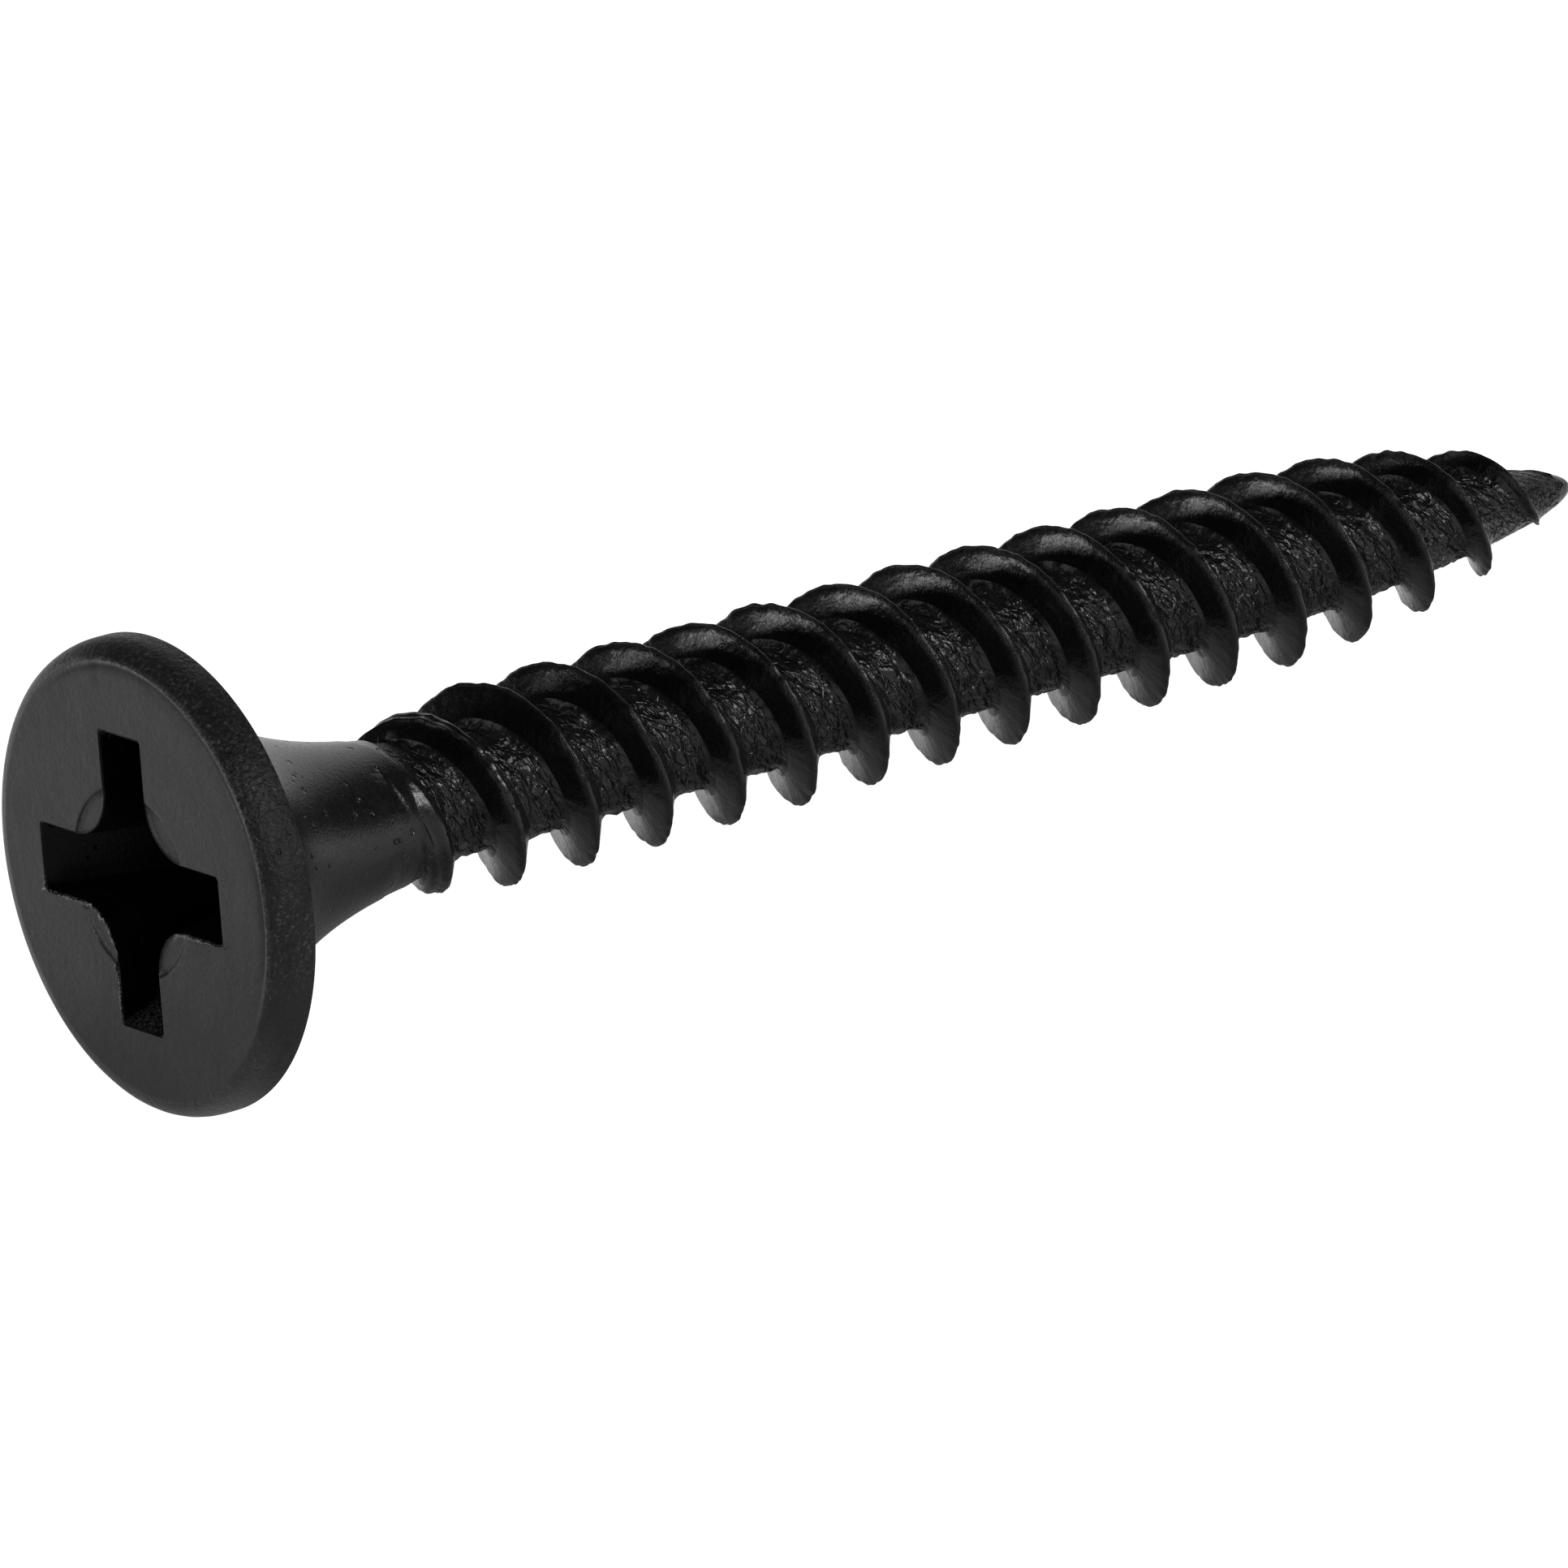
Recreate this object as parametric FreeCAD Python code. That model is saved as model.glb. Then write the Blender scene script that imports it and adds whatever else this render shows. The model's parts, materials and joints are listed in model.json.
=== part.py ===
"""A No. 6 x 1 1/4 in bugle-head wood screw: one piece of steel wire, cold-headed, punched and thread-rolled.

Millimetres. The screw's axis is X: the flat of the head lies in the plane X = 0 and faces -X, and the gimlet
point is at +X. The origin is the centre of the head's flat. Angles about the axis run from +Y towards +Z.
"""

import FreeCAD, Part
import math
import os

# Head: a flat face with a broad rounded edge, a narrow rim and a concave bugle flare that runs out into the neck
OVERALL_LENGTH = 31.75
HEAD_RADIUS = 4.15
FACE_RADIUS = 3.8
EDGE_END = 0.55
RIM_END = 0.84
FLARE_END = 6.35
NECK_RADIUS = 1.26

# Cross recess, size 2: four wings whose end walls slope in, with a conical floor and a shallow central dish
WING_REACH = 2.58
WING_HALF_WIDTH = 0.585
WING_END_SLOPE = math.radians(26.5)
WING_SIDE_SLOPE = math.radians(2.9)
CORNER_RADIUS = 0.95
CORNER_RADIUS_LOSS = 0.2
RECESS_DEPTH = 3.25
FLOOR_SLOPE = math.radians(21.0)
RECESS_TURN = math.radians(-6.5)
DISH_RADIUS = 1.62
DISH_DEPTH = 0.12

# Thread: two right-hand starts, steep towards the head and raked towards the point
STARTS = 2
CREST_SPACING = 1.567
LEAD = STARTS * CREST_SPACING
FIRST_CREST = 0.56
CREST_RADIUS = 1.79
ROOT_RADIUS = 1.065
CREST_LAND = 0.06
HEAD_FLANK_SLOPE = math.radians(18.2)
TIP_FLANK_SLOPE = math.radians(36.6)
LEAST_RISE = 0.03
SHOULDER = 0.05
POINT_SHARE = 0.96

# Along the axis: the thread rises out of the neck, runs full, then closes with the core to the gimlet point
THREAD_BEGINS = 5.1
CREST_FULL = 7.5
ROOT_DROPS = 5.7
ROOT_FULL = 6.6
CREST_TAPER_BEGINS = 23.1
CREST_TAPER_ENDS = 31.1
CREST_TAPER_POWER = 2.2
ROOT_TAPER_BEGINS = 24.1
ROOT_TAPER_POWER = 1.55
THREAD_ENDS = 31.3

# Construction: each helical edge is laid in half turns
POINTS_PER_HALF_TURN = 9
PROFILE_POINTS = 12

AXIS = FreeCAD.Vector(1, 0, 0)
ORIGIN = FreeCAD.Vector(0, 0, 0)


def side(x, r):
    """A point of a half outline in the XY plane, at distance r from the axis."""
    return FreeCAD.Vector(x, r, 0)


def around(x, r, angle):
    """A point at distance r from the axis and at an angle about it."""
    return FreeCAD.Vector(x, r * math.cos(angle), r * math.sin(angle))


def line(start, end):
    """A straight edge."""
    return Part.LineSegment(start, end).toShape()


def spline(points):
    """A smooth edge through points."""
    curve = Part.BSplineCurve()
    curve.interpolate(points)
    return curve.toShape()


def share_between(x, begins, ends):
    """How far x has come from one place to another, from 0 to 1."""
    return min(max((x - begins) / (ends - begins), 0.0), 1.0)


def neck_radius(x):
    """The bugle is a quarter ellipse: square to the rim where it begins, and along the axis where it ends."""
    to_go = 1 - share_between(x, RIM_END, FLARE_END)
    return HEAD_RADIUS - (HEAD_RADIUS - NECK_RADIUS) * math.sqrt(1 - to_go**2)


def root_radius(x):
    """The core between the ridges: a shoulder under the neck, then the rolled root, then the rounded point."""
    drop = (1 - math.cos(math.pi * share_between(x, ROOT_DROPS, ROOT_FULL))) / 2
    shoulder = neck_radius(x) - SHOULDER
    full = shoulder + (ROOT_RADIUS - shoulder) * drop
    taper = share_between(x, ROOT_TAPER_BEGINS, OVERALL_LENGTH)
    return full * math.sqrt(1 - taper**ROOT_TAPER_POWER)


def crest_radius(x):
    """The ridges' crest: it rises quickly out of the neck, holds, and closes towards the point."""
    rise = math.sin(math.pi / 2 * share_between(x, THREAD_BEGINS, CREST_FULL))
    full = NECK_RADIUS + (CREST_RADIUS - NECK_RADIUS) * rise
    taper = share_between(x, CREST_TAPER_BEGINS, CREST_TAPER_ENDS)
    return max(full * math.sqrt(1 - taper**CREST_TAPER_POWER), root_radius(x) + LEAST_RISE)


def turned(edges):
    """A solid of revolution from the edges of a half outline, in order from the axis back to the axis."""
    first = edges[0].Vertexes[0].Point
    last = edges[-1].Vertexes[-1].Point
    outline = Part.Wire(edges + [line(last, first)])
    return Part.Face(outline).revolve(ORIGIN, AXIS, 360)


def head():
    """The head and neck, as far as the plane where the thread begins."""
    corner = math.sqrt(0.5)
    face_edge = side(0, FACE_RADIUS)
    knuckle = side(EDGE_END * (1 - corner), FACE_RADIUS + (HEAD_RADIUS - FACE_RADIUS) * corner)
    rim_front = side(EDGE_END, HEAD_RADIUS)
    rim_back = side(RIM_END, HEAD_RADIUS)
    flare = []
    for i in range(PROFILE_POINTS + 1):
        x = RIM_END + (THREAD_BEGINS - RIM_END) * (i / PROFILE_POINTS) ** 2
        flare.append(side(x, neck_radius(x)))
    return turned(
        [
            line(ORIGIN, face_edge),
            Part.Arc(face_edge, knuckle, rim_front).toShape(),
            line(rim_front, rim_back),
            spline(flare),
            line(flare[-1], side(THREAD_BEGINS, 0)),
        ]
    )


def point():
    """The rounded end of the gimlet point, beyond the thread."""
    profile = []
    for i in range(PROFILE_POINTS + 1):
        x = OVERALL_LENGTH - (OVERALL_LENGTH - THREAD_ENDS) * (1 - i / PROFILE_POINTS) ** 2
        profile.append(side(x, root_radius(x) * POINT_SHARE))
    return turned([line(side(THREAD_ENDS, 0), profile[0]), spline(profile)])


def thread_corners(start, angle):
    """One start's corners at an angle: both edges of its crest, then the feet of the groove behind it."""
    crest_x = FIRST_CREST + start * CREST_SPACING + LEAD * angle / (2 * math.pi)
    crest = crest_radius(min(crest_x, THREAD_ENDS))
    near_foot = crest_x + CREST_LAND / 2 + (crest - root_radius(crest_x)) * math.tan(TIP_FLANK_SLOPE)
    next_x = crest_x + CREST_SPACING
    next_rise = crest_radius(min(next_x, THREAD_ENDS)) - root_radius(min(next_x, THREAD_ENDS))
    far_foot = next_x - CREST_LAND / 2 - next_rise * math.tan(HEAD_FLANK_SLOPE)
    return [
        around(crest_x - CREST_LAND / 2, crest, angle),
        around(crest_x + CREST_LAND / 2, crest, angle),
        around(near_foot, root_radius(min(near_foot, THREAD_ENDS)), angle),
        around(far_foot, root_radius(min(far_foot, THREAD_ENDS)), angle),
    ]


def half_turn_edges(first_angle):
    """The helical edges over half a turn, from the first start's crest to the same crest one turn on."""
    rows = []
    for i in range(POINTS_PER_HALF_TURN):
        angle = first_angle + math.pi * i / (POINTS_PER_HALF_TURN - 1)
        row = []
        for start in range(STARTS):
            row += thread_corners(start, angle)
        row.append(thread_corners(STARTS, angle)[0])
        rows.append(row)
    return [spline(list(points)) for points in zip(*rows)]


def helicoid_cap(edges, angle):
    """Closes one end of the threaded rod: a helicoid over one turn and a flat face along the axis."""
    faces = []
    axis_points = [FreeCAD.Vector(edge.Vertexes[0].Point.x, 0, 0) for edge in edges]
    axis_points.append(FreeCAD.Vector(edges[-1].Vertexes[1].Point.x, 0, 0))
    for i, edge in enumerate(edges):
        faces.append(Part.makeRuledSurface(line(axis_points[i], axis_points[i + 1]), edge, 1))
    corners = []
    for start in range(STARTS):
        corners += thread_corners(start, angle)
    corners.append(thread_corners(STARTS, angle)[0])
    outline = axis_points[::-1] + corners
    faces.append(Part.Face(Part.makePolygon(outline + outline[:1])))
    return faces


def threaded_rod():
    """The core and both ridges in one skin of helical strips, trimmed square at both ends."""
    lead_in = THREAD_BEGINS - LEAD - CREST_SPACING
    first_angle = (lead_in - FIRST_CREST) / LEAD * 2 * math.pi
    half_turns = 2 * math.ceil((THREAD_ENDS + CREST_SPACING - lead_in) / LEAD)
    faces = []
    crest_edges = []
    for i in range(half_turns):
        edges = half_turn_edges(first_angle + math.pi * i)
        crest_edges.append(edges[0])
        if i >= half_turns - 2:
            crest_edges.append(edges[-1])
        for near, far in zip(edges, edges[1:]):
            faces.append(Part.makeRuledSurface(near, far, 1))
    last_angle = first_angle + math.pi * half_turns
    faces += helicoid_cap(crest_edges[:2], first_angle)
    faces += helicoid_cap([crest_edges[-3], crest_edges[-1]], last_angle)
    skin = Part.makeShell([face for shape in faces for face in shape.Faces])
    skin.sewShape()
    rod = Part.makeSolid(skin)
    if rod.Volume < 0:
        rod.reverse()
    trim = Part.makeCylinder(HEAD_RADIUS, THREAD_ENDS - THREAD_BEGINS, side(THREAD_BEGINS, 0), AXIS)
    return rod.common(trim)


def cross_outline(depth):
    """The recess's outline at a depth: a cross with rounded inner corners."""
    reach = WING_REACH - depth * math.tan(WING_END_SLOPE)
    half = WING_HALF_WIDTH - depth * math.tan(WING_SIDE_SLOPE)
    radius = CORNER_RADIUS - depth * CORNER_RADIUS_LOSS
    bend = half + radius * (1 - math.sqrt(0.5))
    edges = []
    for quarter in range(4):
        turn = RECESS_TURN + quarter * math.pi / 2

        def at(along, across):
            return around(depth, math.hypot(along, across), turn + math.atan2(across, along))

        edges.append(line(at(reach, -half), at(reach, half)))
        edges.append(line(at(reach, half), at(half + radius, half)))
        edges.append(Part.Arc(at(half + radius, half), at(bend, bend), at(half, half + radius)).toShape())
        edges.append(line(at(half, half + radius), at(half, reach)))
    return Part.Wire(edges)


def recess():
    """The space punched out for the driver's bit."""
    above_face = -0.3
    wings = Part.makeLoft([cross_outline(above_face), cross_outline(RECESS_DEPTH)], True, True)
    shallowest = RECESS_DEPTH - HEAD_RADIUS * math.tan(FLOOR_SLOPE)
    room = turned(
        [
            line(side(above_face, 0), side(above_face, HEAD_RADIUS)),
            line(side(above_face, HEAD_RADIUS), side(shallowest, HEAD_RADIUS)),
            line(side(shallowest, HEAD_RADIUS), side(RECESS_DEPTH, 0)),
        ]
    )
    dish = Part.makeCone(DISH_RADIUS, DISH_RADIUS / 2, DISH_DEPTH, ORIGIN, AXIS)
    return wings.common(room).fuse(dish)


def wood_screw():
    """The whole screw, as the single piece of steel that it is."""
    return head().fuse([threaded_rod(), point()]).cut(recess())


os.makedirs("parts", exist_ok=True)
screw = wood_screw()
screw.Solids[0].exportStep("parts/wood_screw.step")
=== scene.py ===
import json
import math

import bpy
import numpy as np
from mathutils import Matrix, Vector, noise


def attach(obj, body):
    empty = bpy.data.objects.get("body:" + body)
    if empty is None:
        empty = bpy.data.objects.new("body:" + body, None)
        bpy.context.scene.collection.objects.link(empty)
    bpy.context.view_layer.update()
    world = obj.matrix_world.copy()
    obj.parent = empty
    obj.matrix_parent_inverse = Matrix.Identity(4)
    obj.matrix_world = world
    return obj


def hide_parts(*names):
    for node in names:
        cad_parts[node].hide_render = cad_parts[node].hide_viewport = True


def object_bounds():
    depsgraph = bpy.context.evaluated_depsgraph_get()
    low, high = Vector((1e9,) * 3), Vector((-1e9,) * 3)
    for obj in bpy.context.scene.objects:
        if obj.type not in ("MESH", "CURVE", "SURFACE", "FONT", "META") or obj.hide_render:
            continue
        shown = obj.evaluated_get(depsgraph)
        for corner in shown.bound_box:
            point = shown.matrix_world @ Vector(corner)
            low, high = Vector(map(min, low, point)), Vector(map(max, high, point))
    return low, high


# The look of a black bugle-head wood screw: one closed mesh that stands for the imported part, with its finish,
# floor, lights and camera.
#
# The mesh is worked out in millimetres and made in metres. x runs along the axis from the head's flat face to the
# point, and angles about the axis run from +Y towards +Z. Every ring of the mesh has the same number of columns,
# so the skin is a single grid: out of the recess, over the face and rim, down the flare, along the thread and round
# the point. In the thread the rows follow the helix.

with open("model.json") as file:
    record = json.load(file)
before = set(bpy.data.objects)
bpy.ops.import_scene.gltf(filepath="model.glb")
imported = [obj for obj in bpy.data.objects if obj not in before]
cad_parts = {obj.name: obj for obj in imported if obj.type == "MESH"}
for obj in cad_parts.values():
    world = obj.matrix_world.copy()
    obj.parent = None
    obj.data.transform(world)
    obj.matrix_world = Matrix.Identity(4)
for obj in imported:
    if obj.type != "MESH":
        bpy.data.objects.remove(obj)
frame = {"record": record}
cad_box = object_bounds()

MM = 0.001
TURN = 2 * math.pi
NODE = "wood_screw"
mounts = {mount["name"]: mount for mount in frame["record"]["mounts"]}

# Head, in millimetres
LENGTH = cad_box[1].x / MM
HEAD_RADIUS = mounts["bugle_seat"]["dims"]["r_mm"]
RIM_END = mounts["bugle_seat"]["pos_m"][0] / MM
FLARE_END = 6.35
NECK_RADIUS = 1.26
FACE_RADIUS = 3.8
FACE_SHIFT = 0.18
FACE_SHIFT_ANGLE = math.radians(145)
EDGE_LENGTH = 0.58
RIM_BACK_ROUND = 0.035

# Where the face meets the rim in a crease, with a lip and a groove along it, and a scratch that runs in from there
CREASE_ANGLE = math.radians(125)
CREASE_SHARP_WITHIN = math.radians(45)
CREASE_GONE_BEYOND = math.radians(85)
CREASE_TURN = math.radians(40)
LIP_HEIGHT = 0.035
LIP_WIDTH = 0.06
GROOVE_DEPTH = 0.03
GROOVE_FROM_EDGE = 0.16
GROOVE_WIDTH = 0.05
SCRATCH_ANGLE = math.radians(76)
SCRATCH_HALF_ANGLE = 0.02
SCRATCH_DEPTH = 0.03
SCRATCH_BEGINS = 3.35
SCRATCH_FULL = 3.5

# Recess
WING_REACH = 2.58
WING_HALF_WIDTH = 0.585
WING_END_SLOPE = math.radians(26.5)
WING_SIDE_SLOPE = math.radians(2.9)
WING_CORNER = 0.07
CORNER_RADIUS = 0.95
CORNER_RADIUS_LOSS = 0.2
RECESS_DEPTH = mounts["driver_recess"]["dims"]["length_mm"]
FLOOR_SLOPE = math.radians(21)
RECESS_TURN = math.radians(-6.5)
MOUTH_ROUND = 0.035
DISH_RADIUS = 1.62
DISH_SINK = 0.05
DISH_EDGE = 0.03
BURR_INWARD = 0.17
BURR_PROUD = 0.09

# Thread
STARTS = 2
CREST_SPACING = 1.567
LEAD = STARTS * CREST_SPACING
FIRST_CREST = 0.56
CREST_RADIUS = mounts["thread"]["dims"]["r_mm"]
ROOT_RADIUS = 1.065
CREST_LAND = 0.06
HEAD_FLANK = math.tan(math.radians(18.2))
TIP_FLANK = math.tan(math.radians(36.6))
CREST_ROUND = 0.03
ROOT_FILLET = 0.12
DIE_START = 5.08
CREST_FULL = 8.0
ROOT_FULL = 6.3
CREST_TAPER_BEGINS = 23.1
CREST_TAPER_ENDS = 31.1
CREST_TAPER_POWER = 2.2
ROOT_TAPER_BEGINS = 24.1
ROOT_TAPER_POWER = 1.55
CREST_OVERFILL = 0.1
LIMIT_ROUND = 0.07
FIRST_CUT = 0.3
SEAM_DEPTH = 0.12
SEAM_WIDTH = 0.05
TEXTURE_BEGINS = 5.1
MOST_PROUD = 0.02
CRINKLE_HEIGHT = 0.05
LUMP_HEIGHT = 0.03
CREST_LUMP_HEIGHT = 0.035

# The grid: how many columns and rings, and where the head's rings and the point's rings meet the thread
COLUMNS = 184
EDGE_RINGS = 8
RIM_RINGS = 3
BACK_TURNS = (30, 60, 90)
FLARE_RINGS = 28
TIP_RINGS = 12
BURR_RINGS = 3
NECK_RING = 4.6
POINT_RING = 31.3
RING_GAP = 0.02  # rows of the thread nearer than this to either meeting are left out

# The finish's masks, some of which carry painted shade and painted highlights, and how strong some of them are
MASKS = ("rolled", "flank", "face", "rim", "wear_and_glints", "groove", "dull_and_shaded")
RIM_ROLLED_OVER = 0.45
LIP_WEAR_AND_HIGHLIGHT = 0.35
WING_END_HIGHLIGHT = 0.25
# share of the recess's painted shade and dullness that the point gets
TIP_DULL_AND_SHADE = 0.5
TIP_ROLLED = 0.15

angles = RECESS_TURN + TURN * np.arange(COLUMNS) / COLUMNS


def share(x, begins, ends):
    """How far x has come from one value to another, from 0 to 1."""
    return np.clip((x - begins) / (ends - begins), 0, 1)


def ease(x, begins, ends):
    """The same, starting and stopping gently."""
    t = share(x, begins, ends)
    return t * t * (3 - 2 * t)


def bump(x, middle, width):
    """A smooth hill of height 1."""
    return np.exp(-(((x - middle) / width) ** 2))


def soft_max(a, b, blend):
    """The larger of two heights, with a fillet where they cross."""
    t = np.clip(0.5 + 0.5 * (a - b) / blend, 0, 1)
    return b + (a - b) * t + blend * t * (1 - t)


def soft_min(a, b, blend):
    """The smaller of two heights, with a round where they cross."""
    return -soft_max(-a, -b, blend)


def clouds(points, size, seed):
    """Smooth noise, about -0.5 to 0.5, with features of about one size."""
    shifted = points.reshape(-1, 3) / size + 17.3 * seed
    values = [noise.noise(Vector(p)) for p in shifted.tolist()]
    return np.array(values).reshape(points.shape[:-1])


def plates(points, size, seed):
    """Cracked plates: 0 along the cracks, up to about 1 in the middle of a plate."""
    shifted = points.reshape(-1, 3) / size + 31.7 * seed
    values = []
    for p in shifted.tolist():
        near = noise.voronoi(Vector(p))[0]
        values.append(near[1] - near[0])
    return np.array(values).reshape(points.shape[:-1])


def around(x, radius, angle):
    """Points at distances from the axis and angles about it."""
    x, radius, angle = np.broadcast_arrays(x, radius, angle)
    return np.stack([x, radius * np.cos(angle), radius * np.sin(angle)], -1)


def angle_gap(angle, middle):
    """How far an angle is from another, the short way round."""
    return np.abs((angle - middle + math.pi) % TURN - math.pi)


# Shapes along the axis


def neck_radius(x):
    """The bugle: a quarter ellipse, square to the rim where it begins and along the axis where it ends."""
    to_go = 1 - share(x, RIM_END, FLARE_END)
    return HEAD_RADIUS - (HEAD_RADIUS - NECK_RADIUS) * np.sqrt(1 - to_go**2)


def root_radius(x):
    """The rolled core between the ridges, closing to the point."""
    return ROOT_RADIUS * np.sqrt(1 - share(x, ROOT_TAPER_BEGINS, LENGTH) ** ROOT_TAPER_POWER)


def crest_radius(x):
    """The ridges' crest as the die would make it, closing to the point."""
    taper = np.sqrt(1 - share(x, CREST_TAPER_BEGINS, CREST_TAPER_ENDS) ** CREST_TAPER_POWER)
    return np.maximum(CREST_RADIUS * taper, root_radius(x) + 0.02)


def metal_limit(x):
    """How far out the metal has been pushed: the neck before the die, and then more than a full crest."""
    rise = np.sin(math.pi / 2 * share(x, DIE_START, CREST_FULL))
    return neck_radius(x) + (CREST_RADIUS + CREST_OVERFILL - NECK_RADIUS) * rise


# Rings of the head


def cross_outline(depth, outset=0.0):
    """The recess's outline at a depth for every column, as (y, z). Depth is one number, or one for each column."""
    depth = np.broadcast_to(depth, COLUMNS)
    reach = WING_REACH + outset - depth * math.tan(WING_END_SLOPE)
    half = WING_HALF_WIDTH + outset - depth * math.tan(WING_SIDE_SLOPE)
    inner = CORNER_RADIUS - outset - depth * CORNER_RADIUS_LOSS
    step = np.arange(COLUMNS)
    quarter = COLUMNS // 4
    folded = step % quarter
    mirrored = folded > quarter // 2
    k = np.where(mirrored, quarter - folded, folded)
    end, corner, side = 4, 3, 6
    bend = quarter // 2 - end - corner - side
    along_end = share(k, 0, end)
    along_corner = share(k, end, end + corner) * math.pi / 2
    along_side = share(k, end + corner, end + corner + side)
    along_bend = share(k, end + corner + side, quarter // 2) * math.pi / 4
    forward = reach - WING_CORNER * (1 - np.cos(along_corner))
    forward = forward - (reach - WING_CORNER - half - inner) * along_side - inner * np.sin(along_bend)
    across = (half - WING_CORNER) * along_end + WING_CORNER * np.sin(along_corner)
    across = across + inner * (1 - np.cos(along_bend))
    a = np.where(mirrored, across, forward)
    b = np.where(mirrored, forward, across)
    turn = RECESS_TURN + (step // quarter) * math.pi / 2
    return np.stack([a * np.cos(turn) - b * np.sin(turn), a * np.sin(turn) + b * np.cos(turn)], -1)


def flat_ring(x, outline):
    """A ring of the grid from an outline of (y, z) at distances along the axis."""
    return np.column_stack([np.broadcast_to(x, COLUMNS), outline])


def quarter_turns():
    """Each column's place round the screw in quarter turns: whole numbers are the middles of the wings' ends."""
    return np.arange(COLUMNS) / (COLUMNS / 4)


def burr_strength():
    """Where the punch tore the mouth of the recess: along the lower edges of two wings and their inner corner."""
    quarter = quarter_turns()
    ragged = ease(quarter, 3.1, 3.25) * (1 - ease(quarter, 3.9, 3.97))
    lower_edge = ease(quarter, 2.08, 2.14) * (1 - ease(quarter, 2.34, 2.5))
    return ragged + 0.8 * lower_edge


def recess_rings():
    """From the middle of the recess's floor, up its walls, to the round at its mouth."""
    depth = np.full(COLUMNS, RECESS_DEPTH)
    for _ in range(12):
        reach = np.linalg.norm(cross_outline(depth), axis=1)
        depth = RECESS_DEPTH - reach * math.tan(FLOOR_SLOPE)
    foot = cross_outline(depth)
    rings = []
    for part in (0.12, 0.35, 0.65, 0.9):
        reach = np.linalg.norm(foot, axis=1) * part
        rings.append(flat_ring(RECESS_DEPTH - reach * math.tan(FLOOR_SLOPE), foot * part))
    for part in (1.0, 0.97, 0.85, 0.65, 0.45, 0.28, 0.16, 0.08):
        level = depth * part
        rings.append(flat_ring(level, cross_outline(level)))
    for turn in np.radians([0, 30, 60]):
        level = MOUTH_ROUND * (1 - np.sin(turn))
        rings.append(flat_ring(level, cross_outline(level, MOUTH_ROUND * (1 - np.cos(turn)))))
    return rings


def face_edge():
    """Radius of the face's edge for each column: the flat lies a little to one side of the axis."""
    return FACE_RADIUS + FACE_SHIFT * np.cos(angles - FACE_SHIFT_ANGLE)


def crease():
    """How crisply the face meets the rim, from 0 where it rolls over to 1 at the sharpest."""
    return 1 - ease(angle_gap(angles, CREASE_ANGLE), CREASE_SHARP_WITHIN, CREASE_GONE_BEYOND)


def face_rings():
    """The flat face, from the mouth of the recess to where the edge begins to round."""
    inside = cross_outline(0.0, MOUTH_ROUND)
    outside = face_edge()[:, None] * np.column_stack([np.cos(angles), np.sin(angles)])
    scratch = SCRATCH_DEPTH * bump(angle_gap(angles, SCRATCH_ANGLE), 0, SCRATCH_HALF_ANGLE)
    close = np.linspace(0, 0.24, 11)
    wide = np.linspace(0.24, 0.9, 8)[1:]
    lip = np.linspace(0.9, 1, 6)[1:]
    rings = []
    for part in np.concatenate([close, wide, lip]):
        outline = inside + (outside - inside) * part
        from_axis = np.linalg.norm(outline, axis=1)
        from_edge = face_edge() - from_axis
        sink = DISH_SINK * (1 - ease(from_axis, DISH_RADIUS - DISH_EDGE, DISH_RADIUS + DISH_EDGE))
        sink = sink + scratch * ease(from_axis, SCRATCH_BEGINS, SCRATCH_FULL)
        raised = LIP_HEIGHT * bump(from_edge, 0, LIP_WIDTH)
        raised = raised - GROOVE_DEPTH * bump(from_edge, GROOVE_FROM_EDGE, GROOVE_WIDTH)
        rings.append(flat_ring(sink - raised * crease(), outline))
    return rings


def rim_and_flare_rings():
    """The rounded edge, the rim, its back edge and the bugle, down to the neck."""
    edge = face_edge()
    starts = crease() * CREASE_TURN
    rings = []
    for part in np.linspace(0, 1, EDGE_RINGS + 1)[1:]:
        turn = starts + (math.pi / 2 - starts) * part
        risen = (np.sin(turn) - np.sin(starts)) / (1 - np.sin(starts))
        along = (np.cos(starts) - np.cos(turn)) / np.cos(starts)
        rings.append(around(EDGE_LENGTH * along, edge + (HEAD_RADIUS - edge) * risen, angles))
    for x in np.linspace(EDGE_LENGTH, RIM_END - RIM_BACK_ROUND, RIM_RINGS + 1)[1:]:
        rings.append(around(x, HEAD_RADIUS, angles))
    for turn in np.radians(BACK_TURNS):
        x = RIM_END - RIM_BACK_ROUND * (1 - np.sin(turn))
        rings.append(around(x, HEAD_RADIUS - RIM_BACK_ROUND * (1 - np.cos(turn)), angles))
    for i in range(1, FLARE_RINGS + 1):
        x = RIM_END + (NECK_RING - RIM_END) * (i / FLARE_RINGS) ** 2.2
        rings.append(around(x, np.minimum(neck_radius(x), HEAD_RADIUS - RIM_BACK_ROUND * 1.3), angles))
    return rings


def add_burrs(head, mouth):
    """Pushes the torn stretches of the recess's mouth inwards and out of the face."""
    burr = burr_strength()
    for i in range(mouth - BURR_RINGS, mouth + BURR_RINGS):
        fade = 1 - abs(i - mouth) / (BURR_RINGS + 1)
        rough = clouds(head[i], 0.11, 1) + 0.6 * clouds(head[i], 0.05, 2)
        inward = -head[i, :, 1:] / np.linalg.norm(head[i, :, 1:], axis=1)[:, None]
        head[i, :, 1:] += inward * (BURR_INWARD * fade * burr * (rough + 0.08))[:, None]
        head[i, :, 0] -= BURR_PROUD * fade * burr * np.maximum(clouds(head[i], 0.13, 3) + 0.1, 0)


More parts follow.
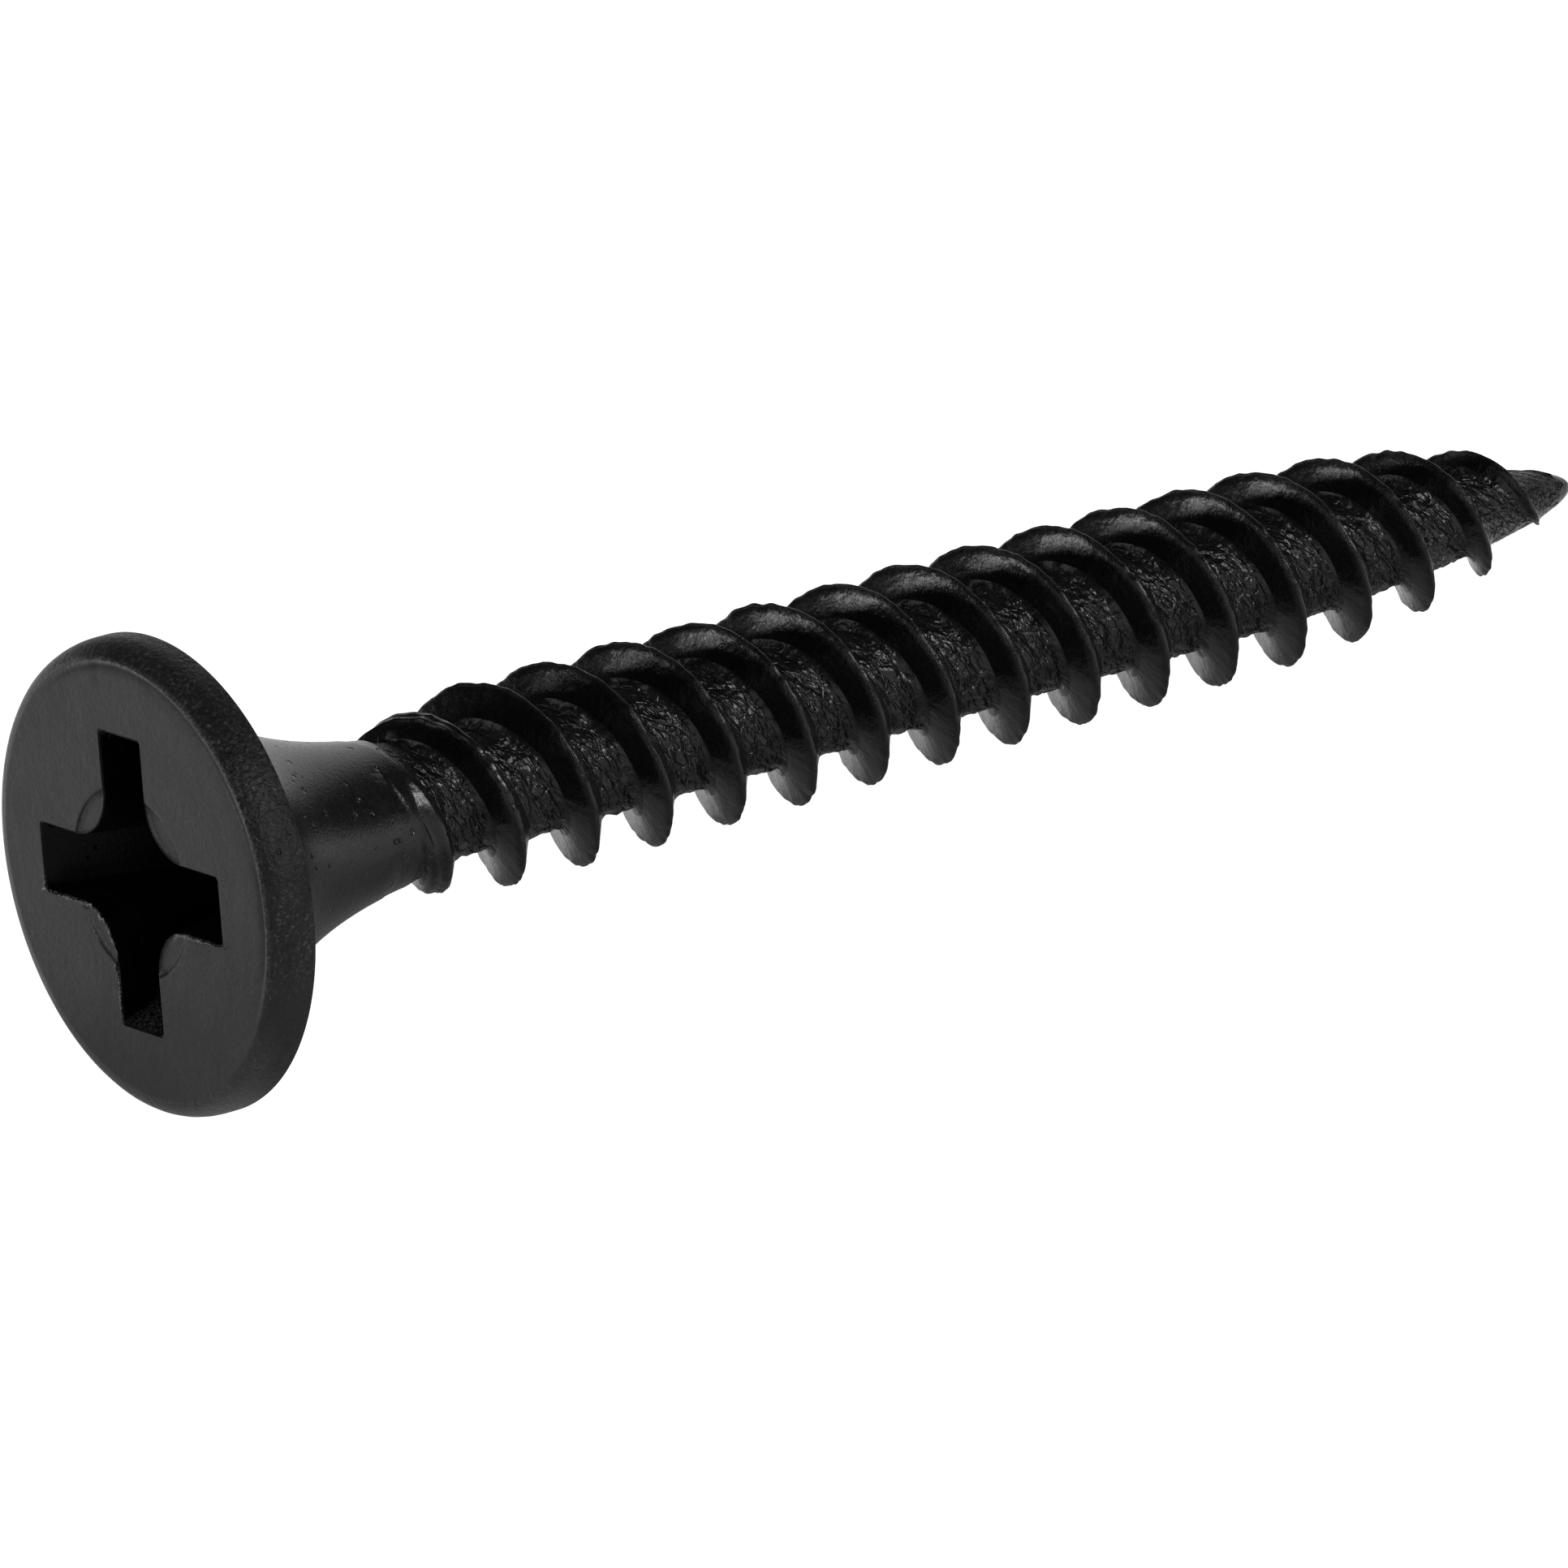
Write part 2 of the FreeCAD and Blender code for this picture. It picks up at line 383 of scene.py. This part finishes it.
def head_masks(mouth, face, rings):
    """The finish's masks over the head, by ring and column."""
    face_end = mouth + len(face)
    rim_end = face_end + EDGE_RINGS + RIM_RINGS + len(BACK_TURNS)
    masks = {name: np.zeros((rings, COLUMNS)) for name in MASKS}
    # painted shade in the recess: its colour is darkened and its shine lowered
    masks["dull_and_shaded"][:mouth] = 1
    masks["face"][mouth:face_end] = 1
    masks["rim"][face_end:rim_end] = RIM_ROLLED_OVER + (1 - RIM_ROLLED_OVER) * crease()
    # wear and painted glints along the torn stretches of the mouth
    for i in range(mouth - 2, mouth + 2):
        masks["wear_and_glints"][i] = burr_strength() * (1 - abs(i - mouth) / 3)
    # painted highlight on the end wall of the bottom wing
    masks["wear_and_glints"][mouth - 6 : mouth - 2] += WING_END_HIGHLIGHT * bump(quarter_turns(), 3.0, 0.1)
    from_edge = face_edge() - np.linalg.norm(face[:, :, 1:], axis=2)
    # wear specks and a painted highlight along the lip at the face's edge
    masks["wear_and_glints"][mouth:face_end] += LIP_WEAR_AND_HIGHLIGHT * crease() * bump(from_edge, 0.03, 0.04)
    # painted shade along the groove inside the face's edge
    masks["groove"][mouth:face_end] = crease() * bump(from_edge, 0.12, 0.04)
    return masks


# The threaded part


def row_offsets():
    """Where the rows of one ridge and its groove lie, past the crest: close together where the profile bends."""
    return np.concatenate(
        [
            np.linspace(0, 0.08, 3, endpoint=False),
            np.linspace(0.08, 0.6, 7, endpoint=False),
            np.linspace(0.6, 1.26, 9, endpoint=False),
            np.linspace(1.26, CREST_SPACING, 7, endpoint=False),
        ]
    )


def from_crest(past):
    """Distance along the axis from the nearest crest, negative ahead of it."""
    return np.where(past > CREST_SPACING / 2, past - CREST_SPACING, past)


def thread_profile(x, past, start):
    """Radius of the thread at x, a distance past its crest, and how much of it is rolled root and flank."""
    behind = crest_radius(x) - (past - CREST_LAND / 2) / TIP_FLANK
    ahead = crest_radius(x) - (CREST_SPACING - CREST_LAND / 2 - past) / HEAD_FLANK
    ridge = soft_min(np.maximum(behind, ahead), crest_radius(x), CREST_ROUND)
    step = np.where(start == 0, FIRST_CUT, 0.0) * ease(x, DIE_START - 0.04, DIE_START + 0.1)
    cut = step + (1 - step) * ease(x, DIE_START - 0.1, ROOT_FULL)
    root = neck_radius(x) + (root_radius(x) - neck_radius(x)) * cut
    limit = metal_limit(x)
    radius = soft_min(soft_max(ridge, root, ROOT_FILLET), limit, LIMIT_ROUND)
    unfilled = np.maximum(CREST_RADIUS - limit, 0) * share(x, DIE_START, DIE_START + 0.3)
    land_middle = unfilled * (TIP_FLANK - HEAD_FLANK) / 2
    radius = radius - SEAM_DEPTH * unfilled * bump(from_crest(past), land_middle, SEAM_WIDTH)
    rolled = (1 - ease(radius - root, 0.03, 0.12)) * ease(x, DIE_START, DIE_START + 0.25)
    flank = ease(radius - root, 0.03, 0.1) * (past > CREST_SPACING / 2) * ease(x, DIE_START, 6.5)
    return radius, rolled, flank


def thread_rows():
    """The threaded part, by row and column: x, points, how rolled, how much flank, and the unrolled coordinates."""
    offsets = row_offsets()
    first_ridge = math.floor((NECK_RING - FIRST_CREST - LEAD) / CREST_SPACING) - 1
    last_ridge = math.ceil((POINT_RING - FIRST_CREST) / CREST_SPACING) + 1
    ridge = np.repeat(np.arange(first_ridge, last_ridge), len(offsets))[:, None]
    past = np.tile(offsets, last_ridge - first_ridge)[:, None]
    x = FIRST_CREST + (ridge * CREST_SPACING + past) + LEAD * angles / TURN
    ridge = np.broadcast_to(ridge, x.shape)
    past = np.broadcast_to(past, x.shape)
    radius, rolled, flank = thread_profile(x, past, ridge % STARTS)

    wrap = np.stack([past, (ridge * math.pi + angles) * ROOT_RADIUS, 0 * x], -1)
    apart = np.stack([0 * x, 0 * x, 3.0 * (ridge % 7)], -1)
    stretched = wrap * [1, 0.7, 0] + apart
    crinkle = CRINKLE_HEIGHT * (plates(stretched, 0.26, 1) - 0.3) + CRINKLE_HEIGHT * clouds(stretched, 0.2, 4)
    crinkle = crinkle * ease(x, TEXTURE_BEGINS, 5.6) * (1 - 0.7 * ease(x, 28.5, 30.5))
    plain = around(x, radius, angles)
    near_crest = 1 - ease(np.abs(from_crest(past)), 0.05, 0.25)
    lumps = LUMP_HEIGHT * clouds(plain, 0.8, 5) + CREST_LUMP_HEIGHT * clouds(plain, 0.22, 6) * near_crest
    lumps = lumps * (1 - rolled) * ease(x, TEXTURE_BEGINS, 6)
    radius = radius + rolled * crinkle + np.minimum(lumps, MOST_PROUD)
    return x, around(x, radius, angles), rolled, flank, wrap


def tip_rings():
    """The rounded end of the gimlet point."""
    rings = []
    for i in range(TIP_RINGS):
        x = LENGTH - (LENGTH - POINT_RING) * (1 - i / TIP_RINGS) ** 2
        rings.append(around(x, root_radius(x), angles))
    return np.array(rings)


# The skin


def ring_numbers(first, count):
    """Vertex numbers of rings in order, each with its first column again at the end."""
    numbers = first + np.arange(count * COLUMNS).reshape(-1, COLUMNS)
    return np.concatenate([numbers, numbers[:, :1]], axis=1)


def thread_numbers(x, inner, first, neck_ring, tip_ring):
    """Vertex numbers of the threaded part. Rows that run past either end take the numbers of the ring there."""
    number = np.zeros(x.shape, int)
    number[inner] = first + np.arange(inner.sum())
    below = x <= NECK_RING + RING_GAP
    above = x >= POINT_RING - RING_GAP
    number[below] = np.broadcast_to(neck_ring, x.shape)[below]
    number[above] = np.broadcast_to(tip_ring, x.shape)[above]
    turn = STARTS * len(row_offsets())
    beyond = np.broadcast_to(tip_ring[:1], (turn, 1))
    seam = np.concatenate([number[turn:, :1], beyond])
    return np.concatenate([number, seam], axis=1)


def skin_faces(parts, floor_middle, tip_end):
    """Quads between neighbouring rows, triangles where two corners are one, and a fan over each end."""
    faces = []
    for numbers in parts:
        quads = np.stack([numbers[:-1, :-1], numbers[:-1, 1:], numbers[1:, 1:], numbers[1:, :-1]], -1)
        for quad in quads.reshape(-1, 4).tolist():
            corners = list(dict.fromkeys(quad))
            if len(corners) > 2:
                faces.append(corners)
    first_ring = parts[0][0].tolist()
    last_ring = parts[-1][-1].tolist()
    for j in range(COLUMNS):
        faces.append([floor_middle, first_ring[j + 1], first_ring[j]])
        faces.append([last_ring[j], last_ring[j + 1], tip_end])
    return faces


def make_grid():
    """All the vertices and faces, with the masks and unrolled coordinates that the finish reads."""
    recess = recess_rings()
    face = np.array(face_rings())
    head = np.concatenate([recess, face, rim_and_flare_rings()])
    add_burrs(head, len(recess))
    x, thread, rolled, flank, wrap = thread_rows()
    inner = (x > NECK_RING + RING_GAP) & (x < POINT_RING - RING_GAP)
    tip = tip_rings()
    ends = [[RECESS_DEPTH, 0, 0], [LENGTH, 0, 0]]
    vertices = np.concatenate([head.reshape(-1, 3), thread[inner], tip.reshape(-1, 3), ends])

    head_count = len(head) * COLUMNS
    tip_base = head_count + int(inner.sum())
    floor_middle = tip_base + len(tip) * COLUMNS
    tip_end = floor_middle + 1
    head_part = ring_numbers(0, len(head))
    tip_part = ring_numbers(tip_base, len(tip))
    middle_part = thread_numbers(x, inner, head_count, head_part[-1, :-1], tip_part[0, :-1])
    faces = skin_faces([head_part, middle_part, tip_part], floor_middle, tip_end)

    masks = {name: np.zeros(len(vertices)) for name in MASKS}
    for name, values in head_masks(len(recess), face, len(head)).items():
        masks[name][:head_count] = values.reshape(-1)
    masks["rolled"][head_count:tip_base] = rolled[inner]
    masks["flank"][head_count:tip_base] = flank[inner]
    # painted shade towards the point: colour partly darkened and shine partly lowered
    masks["dull_and_shaded"][head_count:tip_base] = TIP_DULL_AND_SHADE * ease(x, 29.5, 31)[inner]
    masks["rolled"][tip_base:floor_middle] = TIP_ROLLED
    masks["dull_and_shaded"][tip_base:floor_middle] = TIP_DULL_AND_SHADE
    masks["dull_and_shaded"][[floor_middle, tip_end]] = 1, TIP_DULL_AND_SHADE
    wraps = np.zeros((len(vertices), 3))
    wraps[head_count:tip_base] = wrap[inner]
    wraps[tip_base:floor_middle] = tip.reshape(-1, 3)
    return vertices, faces, masks, wraps


def make_screw():
    """The screw as one closed mesh."""
    vertices, faces, masks, wraps = make_grid()
    mesh = bpy.data.meshes.new("wood_screw_skin")
    mesh.from_pydata((vertices * MM).tolist(), [], faces)
    mesh.validate()
    mesh.shade_smooth()
    for name, values in masks.items():
        mesh.attributes.new(name, "FLOAT", "POINT").data.foreach_set("value", values.astype(np.float32))
    wrap = mesh.attributes.new("wrap", "FLOAT_VECTOR", "POINT")
    wrap.data.foreach_set("vector", wraps.astype(np.float32).ravel())
    screw = bpy.data.objects.new("wood_screw_skin", mesh)
    bpy.context.scene.collection.objects.link(screw)
    return screw


# Finish


class Nodes:
    """Adds shader nodes to a material or world and links them."""

    def __init__(self, owner):
        owner.use_nodes = True
        self.tree = owner.node_tree
        self.tree.nodes.clear()

    def add(self, kind, inputs=None, **settings):
        node = self.tree.nodes.new(kind)
        for name, value in settings.items():
            setattr(node, name, value)
        for name, value in (inputs or {}).items():
            if isinstance(value, bpy.types.NodeSocket):
                self.tree.links.new(value, node.inputs[name])
            else:
                node.inputs[name].default_value = value
        return node

    def math(self, operation, *values):
        return self.add("ShaderNodeMath", dict(enumerate(values)), operation=operation).outputs[0]

    def chain(self, operation, first, *others):
        for value in others:
            first = self.math(operation, first, value)
        return first

    def times(self, *values):
        return self.chain("MULTIPLY", *values)

    def plus(self, *values):
        return self.chain("ADD", *values)

    def minus(self, *values):
        return self.chain("SUBTRACT", *values)

    def largest(self, *values):
        return self.chain("MAXIMUM", *values)

    def less(self, value, mask, part):
        """A value with part of it taken away where a mask is on."""
        return self.times(value, self.minus(1.0, self.times(mask, part)))

    def mask(self, name):
        return self.add("ShaderNodeAttribute", attribute_name=name).outputs["Fac"]

    def between(self, value, low, high, to_low=0.0, to_high=1.0):
        limits = {"Value": value, "From Min": low, "From Max": high, "To Min": to_low, "To Max": to_high}
        return self.add("ShaderNodeMapRange", limits, interpolation_type="SMOOTHSTEP").outputs["Result"]

    def noise(self, place, size, detail=2.0, roughness=0.5):
        inputs = {"Vector": place, "Scale": 1 / size, "Detail": detail, "Roughness": roughness}
        return self.add("ShaderNodeTexNoise", inputs).outputs["Fac"]

    def cells(self, place, size, feature):
        inputs = {"Vector": place, "Scale": 1 / size}
        return self.add("ShaderNodeTexVoronoi", inputs, feature=feature).outputs["Distance"]

    def scaled(self, vector, factors):
        return self.add("ShaderNodeVectorMath", {0: vector, 1: factors}, operation="MULTIPLY").outputs[0]

    def to_camera(self, shown, otherwise):
        """One value for what the camera sees directly, and another for light and reflections."""
        seen = self.add("ShaderNodeLightPath").outputs["Is Camera Ray"]
        both = {"Factor": seen, "A": otherwise, "B": shown}
        return self.add("ShaderNodeMix", both, data_type="FLOAT").outputs["Result"]


# Sizes of the finish's patterns in millimetres
GRAIN_SIZE = 0.05
SAND_SIZE = 0.11
SPECK_SIZE = 0.07
MOTTLE_SIZE = 0.9
PIT_SPACING = 0.24
CRACK_SPACING = 0.2
BLOB_SIZE = 0.2
WAVE_SIZE = 0.7
WARP_SIZE = 1 / 6
WARP_REACH = 0.12

# Their heights in millimetres
GRAIN_HEIGHT = 0.006
SAND_HEIGHT = 0.003
FACE_SAND = 0.008
RIM_SAND = 0.03
FLANK_SAND = 0.008
PIT_DEPTH = 0.02
CRACK_HEIGHT = 0.018
STREAK_HEIGHT = 0.008
BLOB_HEIGHT = 0.12
FLANK_BLOBS = 0.025
FACE_WAVES = 0.03
LINE_DEPTH = 0.012


def warped_cracks(n, place, wrap):
    """0 along the cracks between rolled flakes of the roots, 1 on the flakes."""
    bend = n.add("ShaderNodeTexNoise", {"Vector": place, "Scale": 1 / WARP_SIZE, "Detail": 2.0}).outputs["Color"]
    bend = n.scaled(bend, (WARP_REACH, WARP_REACH, 0.0))
    flakes = n.scaled(wrap, (1.0, 0.6, 1.0))
    warped = n.add("ShaderNodeVectorMath", {0: flakes, 1: bend}, operation="ADD").outputs[0]
    return n.between(n.cells(warped, CRACK_SPACING, "DISTANCE_TO_EDGE"), 0.0, 0.14)


def black_phosphate():
    """Black phosphate on rolled steel: matte and sandy on the head, smooth on the flanks, crinkled in the roots. Its
    colour also holds painted shade in the recess, towards the point and along thin lines on the face, and painted
    glints and highlights at the recess's mouth, the bottom wing's end and the face's lip.
    """
    material = bpy.data.materials.new("black_phosphate")
    n = Nodes(material)
    place = n.scaled(n.add("ShaderNodeTexCoord").outputs["Object"], (1 / MM, 1 / MM, 1 / MM))
    wrap = n.add("ShaderNodeAttribute", attribute_name="wrap").outputs["Vector"]
    rolled, flank, face = n.mask("rolled"), n.mask("flank"), n.mask("face")
    rim, wear_and_glints, dull_and_shaded = n.mask("rim"), n.mask("wear_and_glints"), n.mask("dull_and_shaded")

    grain = n.noise(place, GRAIN_SIZE, 3.0, 0.6)
    sand = n.noise(place, SAND_SIZE, 3.0, 0.65)
    mottle = n.noise(place, MOTTLE_SIZE, 4.0, 0.6)
    pit_choice = n.between(n.noise(place, 0.5, 2.0), 0.5, 0.62)
    pits = n.times(n.between(n.cells(place, PIT_SPACING, "F1"), 0.12, 0.3, 1.0, 0.0), pit_choice)
    cracks = warped_cracks(n, place, wrap)
    streaks = n.noise(n.scaled(wrap, (1.0, 0.12, 1.0)), 0.05, 3.0, 0.6)
    blobs = n.noise(n.scaled(wrap, (1.0, 0.6, 1.0)), BLOB_SIZE, 2.0, 0.55)
    from_axis = n.add("ShaderNodeVectorMath", {0: n.scaled(place, (0, 1, 1))}, operation="LENGTH").outputs["Value"]
    off_line = n.math("ABSOLUTE", n.minus(from_axis, DISH_RADIUS + 0.02))
    # painted shadow: a thin dark line along the dish's edge where its step would cast shade, joined with the groove's
    # painted shade
    dish_shade_line = n.times(n.between(off_line, 0.0, 0.04, 1.0, 0.0), n.between(mottle, 0.35, 0.5), face)
    shade_lines = n.largest(dish_shade_line, n.mask("groove"))

    color = n.less(n.between(mottle, 0.3, 0.7, 0.005, 0.009), flank, 0.5)
    color = n.times(color, n.plus(1.0, n.times(face, 0.65)))
    color = n.times(color, n.between(sand, 0.3, 0.7, 0.6, 1.4))
    blotches = n.times(rim, n.between(mottle, 0.4, 0.55))
    specks = n.times(blotches, n.between(n.noise(place, SPECK_SIZE, 4.0, 0.7), 0.5, 0.72, 0.0, 0.07))
    # lighter colour where worn: partly bare metal, partly painted glints and highlights
    color = n.plus(color, specks, n.times(wear_and_glints, n.between(grain, 0.42, 0.7, 0.0, 0.4)))
    # painted shade: colour darkened in the recess and towards the point, and along the dish's edge and the groove by
    # the face's edge
    color = n.less(n.less(color, dull_and_shaded, 0.5), shade_lines, 0.6)
    base = n.add("ShaderNodeCombineColor", {"Red": color, "Green": color, "Blue": n.times(color, 1.05)})

    rough = n.plus(0.26, n.times(n.largest(face, rim), 0.2), n.times(rolled, 0.04))
    rough = n.plus(rough, n.between(grain, 0.3, 0.7, -0.05, 0.05))
    shine = n.minus(0.5, n.plus(n.times(face, 0.1), n.times(rim, 0.22)), n.times(dull_and_shaded, 0.4), n.times(shade_lines, 0.25))

    height = n.times(grain, n.minus(GRAIN_HEIGHT, n.times(n.largest(flank, rolled), GRAIN_HEIGHT / 2)))
    sandy = n.plus(n.times(face, FACE_SAND), n.times(rim, RIM_SAND), n.times(flank, FLANK_SAND), SAND_HEIGHT)
    height = n.plus(height, n.times(sand, sandy))
    pitted = n.minus(1.0, n.plus(n.plus(flank, rolled), n.times(face, 0.8)))
    height = n.minus(height, n.times(pits, pitted, PIT_DEPTH))
    crinkled = n.plus(n.times(cracks, CRACK_HEIGHT), n.times(streaks, STREAK_HEIGHT), n.times(blobs, BLOB_HEIGHT))
    height = n.plus(height, n.times(crinkled, rolled), n.times(flank, n.times(blobs, FLANK_BLOBS)))
    waves = n.times(n.noise(place, WAVE_SIZE, 2.0), n.times(face, FACE_WAVES))
    height = n.minus(n.plus(height, waves), n.times(shade_lines, LINE_DEPTH))
    relief = n.add("ShaderNodeBump", {"Height": n.times(height, MM), "Distance": 1.0, "Strength": 1.0})

    surface = n.add(
        "ShaderNodeBsdfPrincipled",
        {
            "Base Color": base.outputs["Color"],
            "Roughness": rough,
            "Specular IOR Level": shine,
            "Normal": relief.outputs["Normal"],
            "IOR": 1.5,
        },
    )
    n.add("ShaderNodeOutputMaterial", {"Surface": surface.outputs["BSDF"]})
    return material


# Studio

FLOOR_SIZE = 6.0
FLOOR_GLOW = 0.75
FLOOR_GLOW_LEFT = 0.62
FLOOR_GLOW_UNDER = 0.03
FLOOR_GLOW_SEEN = 1.0
FLOOR_FRONT_SHARE = 0.5
ROOM_GLOW = 0.03
WALL_GLOW = 0.85
WALL_MIDDLE = (0.75, 0.6, 0.25)
HORIZON_GLOW = 0.45
HORIZON_RIGHT_SHARE = 0.2


def floor_glow(n):
    """How brightly the floor glows for light and reflections: dark under the screw as a painted shadow, half in front
    of it and before its head, full elsewhere.
    """
    where = n.add("ShaderNodeSeparateXYZ", {"Vector": n.add("ShaderNodeTexCoord").outputs["Object"]}).outputs
    behind = n.between(where["Y"], 2.5 * MM, 5.5 * MM)
    in_front = n.between(where["Y"], -8.0 * MM, -2.5 * MM, FLOOR_FRONT_SHARE, 0.0)
    before = n.between(where["X"], 0.0, 2.0 * MM, FLOOR_FRONT_SHARE, 0.0)
    beyond = n.between(where["X"], LENGTH * MM, (LENGTH + 4) * MM)
    clear = n.largest(behind, in_front, before, beyond)
    full = n.between(where["X"], -4 * MM, 4 * MM, FLOOR_GLOW_LEFT, FLOOR_GLOW)
    return n.largest(n.times(clear, full), FLOOR_GLOW_UNDER)


def make_floor():
    """A plain white light table that touches the rim of the head. The camera sees it as evenly white."""
    mesh = bpy.data.meshes.new("floor")
    half = FLOOR_SIZE / 2
    z = cad_box[0].z
    corners = [(-half, -half, z), (half, -half, z), (half, half, z), (-half, half, z)]
    mesh.from_pydata(corners, [], [(0, 1, 2, 3)])
    floor = bpy.data.objects.new("floor", mesh)
    bpy.context.scene.collection.objects.link(floor)
    material = bpy.data.materials.new("floor_white")
    n = Nodes(material)
    tone = n.noise(n.add("ShaderNodeTexCoord").outputs["Object"], 0.05, 2.0)
    white = n.between(tone, 0.0, 1.0, 0.5, 0.52)
    color = n.add("ShaderNodeCombineColor", {"Red": white, "Green": white, "Blue": white})
    surface = n.add(
        "ShaderNodeBsdfPrincipled",
        {
            "Base Color": color.outputs["Color"],
            "Roughness": 0.8,
            "Specular IOR Level": 0.1,
            "Emission Color": (1, 1, 1, 1),
            "Emission Strength": n.to_camera(FLOOR_GLOW_SEEN, floor_glow(n)),
        },
    )
    n.add("ShaderNodeOutputMaterial", {"Surface": surface.outputs["BSDF"]})
    mesh.materials.append(material)


def make_world():
    """White where the camera looks; as a light, a pale wall at the back right, a dim horizon, and dark above."""
    world = bpy.data.worlds.new("studio")
    bpy.context.scene.world = world
    n = Nodes(world)
    direction = n.add("ShaderNodeTexCoord").outputs["Generated"]
    apart = n.add("ShaderNodeSeparateXYZ", {"Vector": direction}).outputs
    near = n.add("ShaderNodeVectorMath", {0: direction, 1: WALL_MIDDLE}, operation="DOT_PRODUCT").outputs["Value"]
    wall = n.between(near, 0.8, 0.97, ROOM_GLOW, WALL_GLOW)
    horizon = n.between(apart["Z"], 0.03, 0.16, HORIZON_GLOW, 0.0)
    horizon = n.times(horizon, n.between(apart["X"], 0.6, 0.95, 1.0, HORIZON_RIGHT_SHARE))
    strength = n.to_camera(1.0, n.largest(wall, horizon))
    background = n.add("ShaderNodeBackground", {"Color": (1, 1, 1, 1), "Strength": strength})
    n.add("ShaderNodeOutputWorld", {"Surface": background.outputs["Background"]})


def softbox(name, toward, distance, size, power):
    """A square soft light that faces the screw's middle from a direction."""
    lamp = bpy.data.lights.new(name, "AREA")
    lamp.shape = "SQUARE"
    lamp.size = size
    lamp.energy = power
    light = bpy.data.objects.new(name, lamp)
    middle = (cad_box[0] + cad_box[1]) / 2
    back = Vector(toward).normalized()
    light.location = middle + back * distance
    light.rotation_mode = "QUATERNION"
    light.rotation_quaternion = back.to_track_quat("Z", "Y")
    bpy.context.scene.collection.objects.link(light)


AZIMUTH = math.radians(-37.72)
ELEVATION = math.radians(21.33)
AIM = Vector((9.18, -6.05, 1.47)) * MM
DISTANCE = 0.2372
FOCAL_LENGTH = 324.2
SENSOR_WIDTH = 36.0


def make_camera():
    """A long lens at the photograph's angle: azimuth 0 looks along +Y."""
    lens = bpy.data.cameras.new("camera")
    lens.lens = FOCAL_LENGTH
    lens.sensor_width = SENSOR_WIDTH
    lens.clip_start = 0.01
    lens.clip_end = 10.0
    camera = bpy.data.objects.new("camera", lens)
    level = math.cos(ELEVATION)
    back = Vector((math.sin(AZIMUTH) * level, -math.cos(AZIMUTH) * level, math.sin(ELEVATION)))
    camera.location = AIM + back * DISTANCE
    camera.rotation_mode = "QUATERNION"
    camera.rotation_quaternion = (-back).to_track_quat("-Z", "Y")
    bpy.context.scene.collection.objects.link(camera)
    bpy.context.scene.camera = camera


screw = make_screw()
screw.data.materials.append(black_phosphate())
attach(screw, "root")
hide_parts(NODE)
make_floor()
make_world()
softbox("front", (0.2, -0.8, 0.55), 0.5, 0.16, 1.05)
softbox("left", (-0.965, 0.2, 0.13), 0.5, 0.12, 0.72)
softbox("overhead", (-0.5, 0.3, 0.8), 0.6, 0.3, 0.25)
bpy.context.scene.cycles.max_bounces = 4
bpy.context.scene.cycles.diffuse_bounces = 2
make_camera()
bpy.context.scene.view_settings.view_transform = "Standard"
